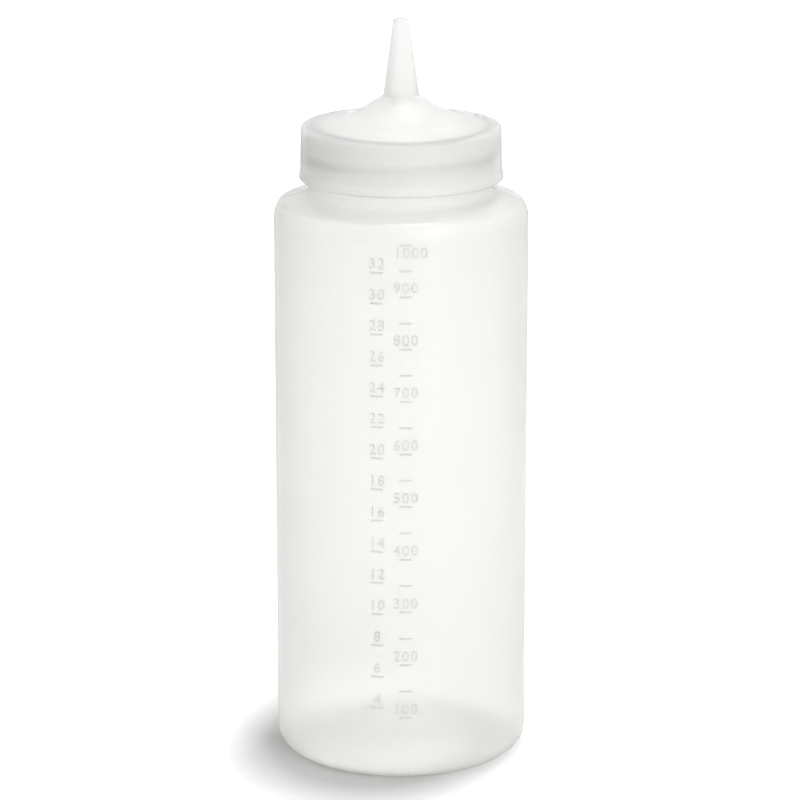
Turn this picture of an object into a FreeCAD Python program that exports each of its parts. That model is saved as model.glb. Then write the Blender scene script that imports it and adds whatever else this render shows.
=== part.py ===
import FreeCAD, Part
import math
import os

# A one-quart squeeze bottle: a blow-moulded bottle and a screw cap with a cone tip.
# Millimetres, +Z up, origin under the middle of the foot.
# Both pieces are turned shapes, so each is one section revolved about the Z axis.

# Bottle: the body
body_radius = 42.9
shoulder_top = 195.6           # height at which the shoulder meets the neck
body_wall = 1.0

# Bottle: the foot, a standing ring round a base that is pushed up
base_wall = 1.5
heel_radius = 6.2
ring_width = 2.5
push_up = 2.2
push_up_run = 14.2             # from the ring in to the flat middle
ring_rounding = 2.5
push_up_rounding = 30.0

# Bottle: the shoulder, a soft bend and a tighter one up to a nearly flat top
shoulder_slope = 16.0          # degrees of the top, from level
shoulder_lean = 27.0           # degrees of the flank, from upright
shoulder_inset = 1.8           # from the wall in to where flank and top would meet
lower_bend = 10.8
upper_bend = 2.8
neck_rounding = 3.0

# Bottle: the neck, plain here, with room for its thread
neck_radius = 30.4
neck_wall = 1.9
lip_rounding = 0.5

# Fit of the cap on the neck
thread_height = 1.2
thread_clearance = 0.4
gap_under_cap = 4.25           # neck left bare between shoulder and cap

# Cap: skirt and crown
skirt_depth = 16.65            # inside, from the seat down to the open edge
skirt_wall = 1.6
skirt_draft = 1.0              # degrees
bead_height = 1.9
bead_flare = 0.4               # how far the bead stands out at the open edge
bead_run = 1.8                 # height over which the skirt flares to it
bead_blend = 2.4
bead_rounding = 0.7
rim_rounding = 1.7
crown_wall = 1.5
crown_slope = 10.2             # degrees, from level
seat_width = 4.6               # flat land that presses on the lip
seat_rounding = 0.6

# Cap: hub and nozzle
hub_slope = 37.2               # degrees, from level, where the hub meets the nozzle
hub_bend = 45.0
hub_straight = 0.4             # between that bend and the rounding at the nozzle
hub_wall = 1.5
nozzle_root_radius = 5.95
nozzle_root_rounding = 0.8
nozzle_height = 25.7
nozzle_tip_radius = 2.6
nozzle_wall = 1.5
tip_rounding = 1.3
orifice_rounding = 0.15

# Worked out from the values above
lip_height = shoulder_top + gap_under_cap + skirt_depth
cap_bottom = lip_height - skirt_depth
ring_inner_radius = body_radius - heel_radius - ring_width
shoulder_edge_radius = body_radius - shoulder_inset
cap_inner_radius = neck_radius + thread_height + thread_clearance
cap_outer_radius = cap_inner_radius + skirt_wall


def point(radius, height):
    return FreeCAD.Vector(radius, 0, height)


def step(corner, angle, length):
    """The point at a distance from a corner, in a direction given in degrees."""
    turn = math.radians(angle)
    return (corner[0] + length * math.cos(turn), corner[1] + length * math.sin(turn))


def crossing(start_a, way_a, start_b, way_b):
    """Where two lines meet, each given by a point and a direction."""
    cross = way_a[0] * way_b[1] - way_a[1] * way_b[0]
    across = (start_b[0] - start_a[0]) * way_b[1] - (start_b[1] - start_a[1]) * way_b[0]
    reach = across / cross
    return (start_a[0] + way_a[0] * reach, start_a[1] + way_a[1] * reach)


def direction(start, end):
    length = math.hypot(end[0] - start[0], end[1] - start[1])
    return ((end[0] - start[0]) / length, (end[1] - start[1]) / length)


def moved_in(corners, walls):
    """The skin inside an outline of (radius, height, rounding) corners.

    Each straight stretch moves to its left by its own wall. A rounding that bulges
    out gets tighter by the wall, and one that dips in gets wider by it.
    """
    lines = []
    for (start, end, wall) in zip(corners, corners[1:], walls):
        way = direction(start, end)
        moved = (start[0] - way[1] * wall, start[1] + way[0] * wall)
        lines.append((moved, way))
    first, last = lines[0], lines[-1]
    skin = [(first[0][0], first[0][1], corners[0][2])]
    for corner, before, after, wall in zip(corners[1:], lines, lines[1:], walls[1:]):
        meet = crossing(before[0], before[1], after[0], after[1])
        bulges = before[1][0] * after[1][1] - before[1][1] * after[1][0] > 0
        rounding = corner[2] - wall if bulges else corner[2] + wall
        skin.append((meet[0], meet[1], max(rounding, 0) if corner[2] else 0))
    end = corners[-1]
    skin.append((end[0] - last[1][1] * walls[-1], end[1] + last[1][0] * walls[-1], end[2]))
    return skin


def rounded_edges(corners):
    """Lines and tangent arcs through the corners of a closed section."""
    edges = []
    count = len(corners)
    trimmed = []
    for index, corner in enumerate(corners):
        before = corners[index - 1]
        after = corners[(index + 1) % count]
        way_in = direction(before, corner)
        way_out = direction(corner, after)
        turn = math.acos(max(-1.0, min(1.0, way_in[0] * way_out[0] + way_in[1] * way_out[1])))
        if not corner[2]:
            trimmed.append((point(corner[0], corner[1]), None, point(corner[0], corner[1])))
            continue
        reach = corner[2] * math.tan(turn / 2)
        start = point(corner[0] - way_in[0] * reach, corner[1] - way_in[1] * reach)
        end = point(corner[0] + way_out[0] * reach, corner[1] + way_out[1] * reach)
        inward = direction((0, 0), (way_out[0] - way_in[0], way_out[1] - way_in[1]))
        sagitta = corner[2] / math.cos(turn / 2) - corner[2]
        middle = point(corner[0] + inward[0] * sagitta, corner[1] + inward[1] * sagitta)
        trimmed.append((start, middle, end))
    for index, (start, middle, end) in enumerate(trimmed):
        if middle is not None:
            edges.append(Part.Arc(start, middle, end).toShape())
        following = trimmed[(index + 1) % count][0]
        if end.distanceToPoint(following) > 1e-6:
            edges.append(Part.LineSegment(end, following).toShape())
    return edges


def turned(corners):
    """The solid that a closed section makes when it turns about the Z axis."""
    section = Part.Face(Part.Wire(rounded_edges(corners)))
    return section.revolve(FreeCAD.Vector(0, 0, 0), FreeCAD.Vector(0, 0, 1), 360)


def make_bottle():
    """Foot, wall, shoulder and neck in one skin, open at the lip."""
    slope = math.radians(shoulder_slope)
    edge_height = shoulder_top - (shoulder_edge_radius - neck_radius) * math.tan(slope)
    flank_rise = shoulder_inset / math.tan(math.radians(shoulder_lean))
    outside = [
        (0, push_up, 0),
        (ring_inner_radius - push_up_run, push_up, push_up_rounding),
        (ring_inner_radius, 0, ring_rounding),
        (body_radius, 0, heel_radius),
        (body_radius, edge_height - flank_rise, lower_bend),
        (shoulder_edge_radius, edge_height, upper_bend),
        (neck_radius, shoulder_top, neck_rounding),
        (neck_radius, lip_height, lip_rounding),
    ]
    walls = [base_wall] * 3 + [body_wall] * 3 + [neck_wall]
    inside = moved_in(outside, walls)
    return turned(outside + inside[::-1])


def make_cap():
    """Skirt, crown, hub and hollow nozzle, with its seat on the lip of the neck."""
    rim_height = lip_height + crown_wall
    drafted = (rim_height - cap_bottom) * math.tan(math.radians(skirt_draft))
    skirt_foot_radius = cap_outer_radius + drafted
    bead_radius = skirt_foot_radius + bead_flare

    # The hub leaves the nozzle steeply and bends out into the flatter crown.
    hub_reach = hub_bend * math.tan(math.radians(hub_slope - crown_slope) / 2)
    nozzle_root = (nozzle_root_radius, 0)
    hub_foot = step(nozzle_root, -hub_slope, hub_reach + hub_straight)
    crown_rise = (cap_outer_radius - hub_foot[0]) * math.tan(math.radians(crown_slope))
    hub_height = rim_height + crown_rise
    root_height = hub_height - hub_foot[1]
    tip_height = root_height + nozzle_height

    skirt = [
        (bead_radius, cap_bottom, bead_rounding),
        (bead_radius, cap_bottom + bead_height, bead_blend),
        (skirt_foot_radius, cap_bottom + bead_height + bead_run, bead_blend),
    ]
    top = [
        (cap_outer_radius, rim_height, rim_rounding),
        (hub_foot[0], hub_height, hub_bend),
        (nozzle_root_radius, root_height, nozzle_root_rounding),
        (nozzle_tip_radius, tip_height, tip_rounding),
    ]
    skin = moved_in(top, [crown_wall, hub_wall, nozzle_wall])
    under_crown, under_hub, bore_root, bore_tip = skin
    seat_edge = cap_inner_radius - seat_width
    seat_step = crossing((seat_edge, 0), (0, 1), under_crown, direction(under_crown, under_hub))
    inside = [
        (cap_inner_radius, cap_bottom, seat_rounding),
        (cap_inner_radius, lip_height, seat_rounding),
        (seat_edge, lip_height, 0),
        (seat_edge, seat_step[1], 0),
        under_hub,
        bore_root,
        (bore_tip[0], tip_height, orifice_rounding),
    ]
    return turned(skirt + top + inside[::-1])


os.makedirs("parts", exist_ok=True)
for name, solid in (("bottle", make_bottle()), ("cap", make_cap())):
    solid.exportStep("parts/" + name + ".step")
    box = solid.BoundBox
    print(name, "valid", solid.isValid(), "volume", round(solid.Volume), "height", round(box.ZMax, 2))
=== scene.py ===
import math

import bpy
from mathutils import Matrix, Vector


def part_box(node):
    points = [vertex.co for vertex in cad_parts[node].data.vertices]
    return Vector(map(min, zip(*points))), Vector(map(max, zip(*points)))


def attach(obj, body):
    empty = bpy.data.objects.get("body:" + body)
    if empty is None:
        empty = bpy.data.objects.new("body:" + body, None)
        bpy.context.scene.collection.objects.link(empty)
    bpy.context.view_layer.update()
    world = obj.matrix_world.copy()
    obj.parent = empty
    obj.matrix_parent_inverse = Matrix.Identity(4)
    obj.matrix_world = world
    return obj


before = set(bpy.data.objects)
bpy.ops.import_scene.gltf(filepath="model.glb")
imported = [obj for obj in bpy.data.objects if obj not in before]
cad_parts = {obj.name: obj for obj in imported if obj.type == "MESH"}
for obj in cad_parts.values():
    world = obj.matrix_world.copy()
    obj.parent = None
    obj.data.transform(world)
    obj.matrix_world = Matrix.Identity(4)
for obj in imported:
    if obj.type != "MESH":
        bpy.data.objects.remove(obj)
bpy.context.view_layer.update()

scene = bpy.context.scene
scene.view_settings.view_transform = "Standard"

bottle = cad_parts["bottle"]
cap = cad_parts["cap"]
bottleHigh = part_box("bottle")[1]
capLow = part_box("cap")[0]
bodyRadius = bottleHigh.x
mm = 0.001
mergeDistance = 0.002 * mm


def deselectAll():
    if bpy.context.object and bpy.context.object.mode != "OBJECT":
        bpy.ops.object.mode_set(mode="OBJECT")
    bpy.ops.object.select_all(action="DESELECT")


def selectOnly(piece):
    deselectAll()
    piece.select_set(True)
    bpy.context.view_layer.objects.active = piece


# camera: a long lens looking down on the bottle

cameraSetup = {
    "distance": 1200 * mm,
    "height": 447.8 * mm,
    "sideways": -0.4 * mm,
    "tilt": 15.17,              # degrees down from level
    "lens": 163.75,
    "clipStart": 0.05,
    "clipEnd": 30,
}

deselectAll()
bpy.ops.object.camera_add(
    location=(cameraSetup["sideways"], -cameraSetup["distance"], cameraSetup["height"]),
    rotation=(math.radians(90 - cameraSetup["tilt"]), 0, 0),
)
camera = bpy.context.object
camera.name = "camera"
camera.data.lens = cameraSetup["lens"]
camera.data.clip_start = cameraSetup["clipStart"]
camera.data.clip_end = cameraSetup["clipEnd"]
scene.camera = camera
print("camera placed")


# floor and light

stageSetup = {
    "floorSize": 12.0,
    "floorColour": (0.67, 0.67, 0.67, 1),
    # painted shadow: no floor glow beside the bottle, full glow away from it
    "floorGlow": (0.0, 0.62),           # beside the bottle, and away from it
    "glowShift": (10.2 * mm, -2 * mm, 0),
    "glowStretch": (1, 0.723, 1),
    "glowStart": 35.5 * mm,
    "glowFull": 62 * mm,
    # painted light and shade seen through the plastic: strong glow next to the foot, a dip a little
    # further out, then plain
    "glowThrough": (                    # distance, and the strength that shows through plastic
        (24 * mm, 0.75),
        (38 * mm, 0.44),
        (64 * mm, 0.24),
        (150 * mm, 0.285),
        (450 * mm, 0.38),
    ),
    "worldLight": 0.75,
    "worldThrough": 0.97,
}


def newMaterial(name):
    material = bpy.data.materials.new(name)
    material.use_nodes = True
    material.node_tree.nodes.clear()
    return material, material.node_tree.nodes, material.node_tree.links


def strengthByRay(nodes, links, plain, seen, through):
    # one strength for lighting, one for the eye and for gloss, one for what shows through plastic
    path = nodes.new("ShaderNodeLightPath")
    eye = nodes.new("ShaderNodeMath")
    eye.operation = "MAXIMUM"
    links.new(path.outputs["Is Camera Ray"], eye.inputs[0])
    links.new(path.outputs["Is Glossy Ray"], eye.inputs[1])
    strength = plain
    for chooser, level in ((eye.outputs[0], seen), (path.outputs["Is Transmission Ray"], through)):
        mix = nodes.new("ShaderNodeMapRange")
        links.new(chooser, mix.inputs["Value"])
        for socket, value in (("To Min", strength), ("To Max", level)):
            if isinstance(value, (int, float)):
                mix.inputs[socket].default_value = value
            else:
                links.new(value, mix.inputs[socket])
        strength = mix.outputs["Result"]
    return strength


def makeFloorPaint():
    material, nodes, links = newMaterial("floorPaint")
    diffuse = nodes.new("ShaderNodeBsdfDiffuse")
    diffuse.inputs["Color"].default_value = stageSetup["floorColour"]
    glow = nodes.new("ShaderNodeEmission")
    glow.inputs["Color"].default_value = (1, 1, 1, 1)

    # distance from the foot, in ovals that follow the shadow, for the painted shadow below
    place = nodes.new("ShaderNodeTexCoord")
    aside = nodes.new("ShaderNodeMapping")
    aside.inputs["Location"].default_value = stageSetup["glowShift"]
    aside.inputs["Scale"].default_value = stageSetup["glowStretch"]
    links.new(place.outputs["Object"], aside.inputs["Vector"])
    reach = nodes.new("ShaderNodeVectorMath")
    reach.operation = "LENGTH"
    links.new(aside.outputs["Vector"], reach.inputs[0])

    # painted shadow: the floor's glow is held back near the bottle and grows away from it, so the
    # floor darkens round the foot
    paintedShadowFade = nodes.new("ShaderNodeMapRange")
    paintedShadowFade.inputs["From Min"].default_value = stageSetup["glowStart"]
    paintedShadowFade.inputs["From Max"].default_value = stageSetup["glowFull"]
    paintedShadowFade.inputs["To Min"].default_value, paintedShadowFade.inputs["To Max"].default_value = stageSetup["floorGlow"]
    links.new(reach.outputs["Value"], paintedShadowFade.inputs["Value"])

    # painted light and shade: what shows through the plastic glows brighter next to the foot, dimmer
    # a little further out, and rises again far away
    metre = nodes.new("ShaderNodeMapRange")
    links.new(reach.outputs["Value"], metre.inputs["Value"])
    through = nodes.new("ShaderNodeValToRGB")
    stops = through.color_ramp.elements
    while len(stops) < len(stageSetup["glowThrough"]):
        stops.new(0.5)
    for stop, (away, strength) in zip(stops, stageSetup["glowThrough"]):
        stop.position = away
        stop.color = (strength, strength, strength, 1)
    links.new(metre.outputs["Result"], through.inputs["Fac"])

    strength = strengthByRay(nodes, links, 0, paintedShadowFade.outputs["Result"], through.outputs["Color"])
    links.new(strength, glow.inputs["Strength"])
    both = nodes.new("ShaderNodeAddShader")
    links.new(diffuse.outputs[0], both.inputs[0])
    links.new(glow.outputs[0], both.inputs[1])
    output = nodes.new("ShaderNodeOutputMaterial")
    links.new(both.outputs[0], output.inputs["Surface"])
    return material


def makeStudioWorld():
    world = bpy.data.worlds.new("studio")
    world.use_nodes = True
    nodes, links = world.node_tree.nodes, world.node_tree.links
    nodes.clear()
    background = nodes.new("ShaderNodeBackground")
    background.inputs["Color"].default_value = (1, 1, 1, 1)
    strength = strengthByRay(nodes, links, stageSetup["worldLight"], 1, stageSetup["worldThrough"])
    links.new(strength, background.inputs["Strength"])
    output = nodes.new("ShaderNodeOutputWorld")
    links.new(background.outputs[0], output.inputs["Surface"])
    return world


deselectAll()
bpy.ops.mesh.primitive_plane_add(size=stageSetup["floorSize"], location=(0, 0, 0))
floor = bpy.context.object
floor.name = "floor"
floor.data.materials.append(makeFloorPaint())
scene.world = makeStudioWorld()

lamps = {
    "overheadSoftbox": {"place": (0.11, 0.17, 1.1), "aim": (0, 0, 0.10), "size": 0.2, "watts": 5.0},
    "frontSoftbox": {"place": (0.6, -1.05, 0.5), "aim": (0, 0, 0.12), "size": 0.8, "watts": 6.5},
}

for name, lamp in lamps.items():
    deselectAll()
    bpy.ops.object.light_add(type="AREA", location=lamp["place"])
    light = bpy.context.object
    light.name = name
    light.data.shape = "SQUARE"
    light.data.size = lamp["size"]
    light.data.energy = lamp["watts"]
    aim = Vector(lamp["aim"]) - Vector(lamp["place"])
    light.rotation_euler = aim.to_track_quat("-Z", "Y").to_euler()
print("floor and lights placed")


# moulded plastics

bottleLook = {
    "colour": (0.966, 0.962, 0.942),
    "paleColour": (0.976, 0.973, 0.961),
    "roughness": (0.32, 0.42),
    "clear": 0.84,
    "ior": 1.17,
    "coat": 0.38,
    "coatRoughness": 0.33,
    "cloudScale": 25,
    "cloudSpread": (0.3, 0.7),
    "skinScale": 900,
    "skinStrength": 0.3,
    "skinDepth": 0.05 * mm,
    "flowScale": (260, 260, 9),
    "flowStrength": 0.3,
    "flowDepth": 0.1 * mm,
}
capLook = dict(
    bottleLook,
    colour=(0.965, 0.964, 0.955),
    paleColour=(0.978, 0.977, 0.97),
    roughness=(0.58, 0.68),
    clear=0.8,
    ior=1.36,
    coat=0.1,
)

# painted shade: the raised marks are a darker colour, standing in for the shade along their edges and
# in the thicker plastic
shadedMarkLook = dict(
    bottleLook,
    colour=(0.84, 0.84, 0.82),
    paleColour=(0.9, 0.9, 0.88),
    clear=0.74,
    ior=1.28,
)

# threads sink into walls of the same plastic, so they hardly bend the light again
threadLook = dict(
    capLook,
    colour=(0.985, 0.985, 0.975),
    paleColour=(0.995, 0.995, 0.985),
    roughness=(0.2, 0.3),
    clear=0.99,
    ior=1.05,
    coat=0,
)


def mouldedPlastic(name, look):
    material, nodes, links = newMaterial(name)
    shader = nodes.new("ShaderNodeBsdfPrincipled")
    output = nodes.new("ShaderNodeOutputMaterial")
    links.new(shader.outputs["BSDF"], output.inputs["Surface"])
    shader.inputs["IOR"].default_value = look["ior"]
    shader.inputs["Transmission Weight"].default_value = look["clear"]
    shader.inputs["Coat Weight"].default_value = look["coat"]
    shader.inputs["Coat Roughness"].default_value = look["coatRoughness"]
    place = nodes.new("ShaderNodeTexCoord")

    # slow clouds in the colour
    clouds = nodes.new("ShaderNodeTexNoise")
    clouds.inputs["Scale"].default_value = look["cloudScale"]
    clouds.inputs["Detail"].default_value = 2
    links.new(place.outputs["Object"], clouds.inputs["Vector"])
    tint = nodes.new("ShaderNodeValToRGB")
    tint.color_ramp.elements[0].position = look["cloudSpread"][0]
    tint.color_ramp.elements[1].position = look["cloudSpread"][1]
    tint.color_ramp.elements[0].color = (*look["colour"], 1)
    tint.color_ramp.elements[1].color = (*look["paleColour"], 1)
    links.new(clouds.outputs["Fac"], tint.inputs["Fac"])
    links.new(tint.outputs["Color"], shader.inputs["Base Color"])

    # satin skin whose gloss wanders a little
    skin = nodes.new("ShaderNodeTexNoise")
    skin.inputs["Scale"].default_value = look["skinScale"]
    skin.inputs["Detail"].default_value = 3
    links.new(place.outputs["Object"], skin.inputs["Vector"])
    gloss = nodes.new("ShaderNodeMapRange")
    gloss.inputs["To Min"].default_value = look["roughness"][0]
    gloss.inputs["To Max"].default_value = look["roughness"][1]
    links.new(skin.outputs["Fac"], gloss.inputs["Value"])
    links.new(gloss.outputs["Result"], shader.inputs["Roughness"])

    # upright flow lines from the blown or injected melt, with the skin over them
    stretch = nodes.new("ShaderNodeMapping")
    stretch.inputs["Scale"].default_value = look["flowScale"]
    links.new(place.outputs["Object"], stretch.inputs["Vector"])
    flow = nodes.new("ShaderNodeTexNoise")
    flow.inputs["Scale"].default_value = 1
    flow.inputs["Detail"].default_value = 1
    links.new(stretch.outputs["Vector"], flow.inputs["Vector"])
    flowBump = nodes.new("ShaderNodeBump")
    flowBump.inputs["Strength"].default_value = look["flowStrength"]
    flowBump.inputs["Distance"].default_value = look["flowDepth"]
    links.new(flow.outputs["Fac"], flowBump.inputs["Height"])
    skinBump = nodes.new("ShaderNodeBump")
    skinBump.inputs["Strength"].default_value = look["skinStrength"]
    skinBump.inputs["Distance"].default_value = look["skinDepth"]
    links.new(skin.outputs["Fac"], skinBump.inputs["Height"])
    links.new(flowBump.outputs["Normal"], skinBump.inputs["Normal"])
    links.new(skinBump.outputs["Normal"], shader.inputs["Normal"])
    return material


bottlePlastic = mouldedPlastic("bottlePlastic", bottleLook)
shadedMarkPlastic = mouldedPlastic("shadedMarkPlastic", shadedMarkLook)
capPlastic = mouldedPlastic("capPlastic", capLook)
threadPlastic = mouldedPlastic("threadPlastic", threadLook)
bottle.material_slots[0].material = bottlePlastic
cap.material_slots[0].material = capPlastic
print("plastics made")


# what the added pieces share

def makeBar(size, middle):
    deselectAll()
    bpy.ops.mesh.primitive_cube_add(size=1, location=middle)
    bar = bpy.context.object
    bar.scale = size
    bpy.ops.object.transform_apply(location=True, rotation=True, scale=True)
    return bar


def roundEdges(piece, width):
    bevel = piece.modifiers.new("roundedEdges", "BEVEL")
    bevel.width = width
    bevel.segments = 3
    bevel.limit_method = "ANGLE"
    bpy.ops.object.modifier_apply(modifier=bevel.name)


def wrapRound(piece, radius, turn, risePerTurn=0):
    # what stands flat in front goes round the axis, its distance kept
    for vertex in piece.data.vertices:
        angle = vertex.co.x / radius + math.radians(turn)
        reach = radius - vertex.co.y
        vertex.co.x = reach * math.sin(angle)
        vertex.co.y = -reach * math.cos(angle)
        vertex.co.z += risePerTurn * angle / math.tau


def finishPiece(piece, name, material):
    selectOnly(piece)
    piece.name = name
    piece.data.name = name
    bpy.ops.object.mode_set(mode="EDIT")
    bpy.ops.mesh.select_all(action="SELECT")
    bpy.ops.mesh.remove_doubles(threshold=mergeDistance)
    bpy.ops.mesh.normals_make_consistent(inside=False)
    bpy.ops.object.mode_set(mode="OBJECT")
    piece.data.materials.clear()
    piece.data.materials.append(material)
    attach(piece, "root")


# screw thread: a bar rolled round the neck, and one inside the cap half a pitch away

thread = {
    "neckRadius": 30.4 * mm,
    "capRadius": 32 * mm,
    "neckDepth": 0.9 * mm,
    "capDepth": 0.5 * mm,
    "pitch": 4.2 * mm,
    "turns": 1.4,
    "foot": 206.7 * mm,         # height of the middle of the neck's own thread
    "crest": 0.9 * mm,
    "root": 1.9 * mm,
    "sunk": 0.4 * mm,
    "stepsPerTurn": 96,
    "runOut": 20,               # degrees over which an end fades into the wall
    "endStands": 0.02,          # share of the height that is left at the very end
}


def makeThread(name, radius, outward, depth, middle):
    length = thread["turns"] * math.tau * radius
    rise = depth + thread["sunk"]
    bar = makeBar((length, rise, thread["root"]), (0, -outward * (rise / 2 - thread["sunk"]), 0))
    bpy.ops.object.mode_set(mode="EDIT")
    bpy.ops.mesh.select_mode(type="EDGE")
    bpy.ops.mesh.select_all(action="DESELECT")
    bpy.ops.object.mode_set(mode="OBJECT")
    for edge in bar.data.edges:
        ends = [bar.data.vertices[index].co for index in edge.vertices]
        edge.select = abs(ends[0].x - ends[1].x) > length / 2
    bpy.ops.object.mode_set(mode="EDIT")
    bpy.ops.mesh.subdivide(number_cuts=round(thread["turns"] * thread["stepsPerTurn"]))
    bpy.ops.object.mode_set(mode="OBJECT")

    # the crest is narrower than the root, and both ends fade into the wall
    for vertex in bar.data.vertices:
        if vertex.co.y * -outward > 0:
            fromEnd = math.degrees((length / 2 - abs(vertex.co.x)) / radius)
            stands = max(thread["endStands"], min(1, fromEnd / thread["runOut"]))
            vertex.co.y *= stands
            vertex.co.z *= thread["crest"] / thread["root"]
    wrapRound(bar, radius, 0, thread["pitch"])
    for vertex in bar.data.vertices:
        vertex.co.z += middle
    finishPiece(bar, name, threadPlastic)
    return bar


for name, radius, outward, depth, lift, slot in (
    ("neckThread", thread["neckRadius"], 1, thread["neckDepth"], 0, "bottle_plastic"),
    ("capThread", thread["capRadius"], -1, thread["capDepth"], thread["pitch"] / 2, "cap_plastic"),
):
    piece = makeThread(name, radius, outward, depth, thread["foot"] + lift)
print("threads cut")


# what the blow mould leaves: a fine ridge up both sides, and the pinched seam under the foot

mouldMarks = {
    "ridgeWidth": 0.35 * mm,
    "ridgeHeight": 0.08 * mm,
    "ridgeSunk": 0.25 * mm,
    "ridgeTop": capLow.z - 4.6 * mm,
    "ridgeFoot": 0.6 * mm,
    "pinchSize": (37 * mm, 1.3 * mm, 0.65 * mm),
    "pinchMiddle": (0, 0, 2.05 * mm),
    "pinchRounding": 0.3 * mm,
}


def makePartingRidge():
    # a thin slice of the bottle's own skin, thickened a little outwards
    ridge = bottle.copy()
    ridge.data = bottle.data.copy()
    scene.collection.objects.link(ridge)
    selectOnly(ridge)
    half = mouldMarks["ridgeWidth"] / 2
    bpy.ops.object.mode_set(mode="EDIT")
    bpy.ops.mesh.select_all(action="SELECT")
    bpy.ops.mesh.bisect(plane_co=(0, -half, 0), plane_no=(0, 1, 0), clear_inner=True)
    bpy.ops.mesh.select_all(action="SELECT")
    bpy.ops.mesh.bisect(plane_co=(0, half, 0), plane_no=(0, 1, 0), clear_outer=True)
    bpy.ops.mesh.select_mode(type="FACE")
    bpy.ops.mesh.select_all(action="DESELECT")
    bpy.ops.object.mode_set(mode="OBJECT")

    # the inner skin, the neck and the standing ring have no ridge
    middle = Vector((0, 0, bottleHigh.z / 2))
    for face in ridge.data.polygons:
        inside = face.normal.dot(face.center - middle) < 0
        onNeck = face.center.z > mouldMarks["ridgeTop"]
        onFoot = face.center.z < mouldMarks["ridgeFoot"]
        face.select = inside or onNeck or onFoot
    bpy.ops.object.mode_set(mode="EDIT")
    bpy.ops.mesh.delete(type="FACE")
    bpy.ops.mesh.select_all(action="SELECT")
    bpy.ops.mesh.remove_doubles(threshold=mergeDistance)
    bpy.ops.object.mode_set(mode="OBJECT")
    thick = ridge.modifiers.new("thick", "SOLIDIFY")
    thick.thickness = mouldMarks["ridgeHeight"] + mouldMarks["ridgeSunk"]
    thick.offset = 2 * mouldMarks["ridgeHeight"] / thick.thickness - 1
    bpy.ops.object.modifier_apply(modifier=thick.name)
    return ridge


def makePinchSeam():
    seam = makeBar(mouldMarks["pinchSize"], mouldMarks["pinchMiddle"])
    roundEdges(seam, mouldMarks["pinchRounding"])
    return seam


for piece, name in ((makePartingRidge(), "partingRidge"), (makePinchSeam(), "pinchSeam")):
    finishPiece(piece, name, bottlePlastic)
print("mould marks left")


# volume scale, raised on the front of the bottle

scale = {
    "foot": 3.8 * mm,           # height at which the bottle is empty
    "perMillilitre": 0.1911 * mm,
    "closing": 8.65e-6 * mm,    # the marks draw together towards the top
    "ounce": 29.57,             # millilitres
    "millilitres": range(100, 1001, 50),
    "millilitreNumbers": 100,   # a number at each of these, and a plain tick between
    "millilitreTurn": 2.0,      # degrees to the right of the front
    "ounces": range(4, 33, 2),
    "ounceNumbers": 2,
    "ounceTurn": -10.9,
    "tickSize": (4.2 * mm, 0.6 * mm),
    "tickHeight": 0.28 * mm,
    "tickRounding": 0.18 * mm,
    "digitSize": 5.1 * mm,
    "digitSpacing": 1.15,
    "digitSteps": 4,
    "digitHeight": 0.16 * mm,
    "digitLift": 1.35 * mm,     # from a tick up to its number
    "hungNumber": 1000,         # the top number hangs under its tick
    "hungBelow": 4.4 * mm,
    "hungShift": 1.7 * mm,
    "sunk": 0.2 * mm,
}


def markHeight(volume):
    return scale["foot"] + scale["perMillilitre"] * volume - scale["closing"] * volume ** 2


def makeTick():
    width, tall = scale["tickSize"]
    rise = scale["tickHeight"] + scale["sunk"]
    tick = makeBar((width, rise, tall), (0, scale["sunk"] - rise / 2, 0))

    # cut in three along its length, so that it can follow the wall
    bpy.ops.object.mode_set(mode="EDIT")
    for side in (-1, 1):
        bpy.ops.mesh.select_all(action="SELECT")
        bpy.ops.mesh.bisect(plane_co=(side * width / 6, 0, 0), plane_no=(1, 0, 0))
    bpy.ops.object.mode_set(mode="OBJECT")
    roundEdges(tick, scale["tickRounding"])
    return tick


def placedCopy(piece, height):
    copy = piece.copy()
    copy.data = piece.data.copy()
    scene.collection.objects.link(copy)
    for vertex in copy.data.vertices:
        vertex.co.z += height
    return copy


def makeNumber(number, height, shift):
    deselectAll()
    bpy.ops.object.text_add(location=(0, 0, 0))
    text = bpy.context.object
    text.data.body = str(number)
    text.data.size = scale["digitSize"]
    text.data.align_x = "CENTER"
    text.data.space_character = scale["digitSpacing"]
    text.data.extrude = (scale["digitHeight"] + scale["sunk"]) / 2
    text.data.resolution_u = scale["digitSteps"]
    bpy.ops.object.convert(target="MESH")
    text.rotation_euler.x = math.radians(90)
    text.location = (shift, (scale["sunk"] - scale["digitHeight"]) / 2, height)
    bpy.ops.object.transform_apply(location=True, rotation=True, scale=True)
    return text


def joined(pieces):
    selectOnly(pieces[0])
    for piece in pieces:
        piece.select_set(True)
    bpy.ops.object.join()
    return bpy.context.object


def makeScale(name, unit):
    marks = scale[name + "s"]
    tick = makeTick()
    ticks = [placedCopy(tick, markHeight(mark * unit)) for mark in marks]
    bpy.data.objects.remove(tick)
    numbers = []
    for mark in marks:
        if mark % scale[name + "Numbers"]:
            continue
        lift, shift = scale["digitLift"], 0
        if mark == scale["hungNumber"]:
            lift, shift = -scale["hungBelow"], scale["hungShift"]
        numbers.append(makeNumber(mark, markHeight(mark * unit) + lift, shift))
    for pieces, kind in ((ticks, "Ticks"), (numbers, "Numbers")):
        piece = joined(pieces)
        wrapRound(piece, bodyRadius, scale[name + "Turn"])
        finishPiece(piece, name + kind, shadedMarkPlastic)


makeScale("millilitre", 1)
makeScale("ounce", scale["ounce"])
print("volume scale raised")
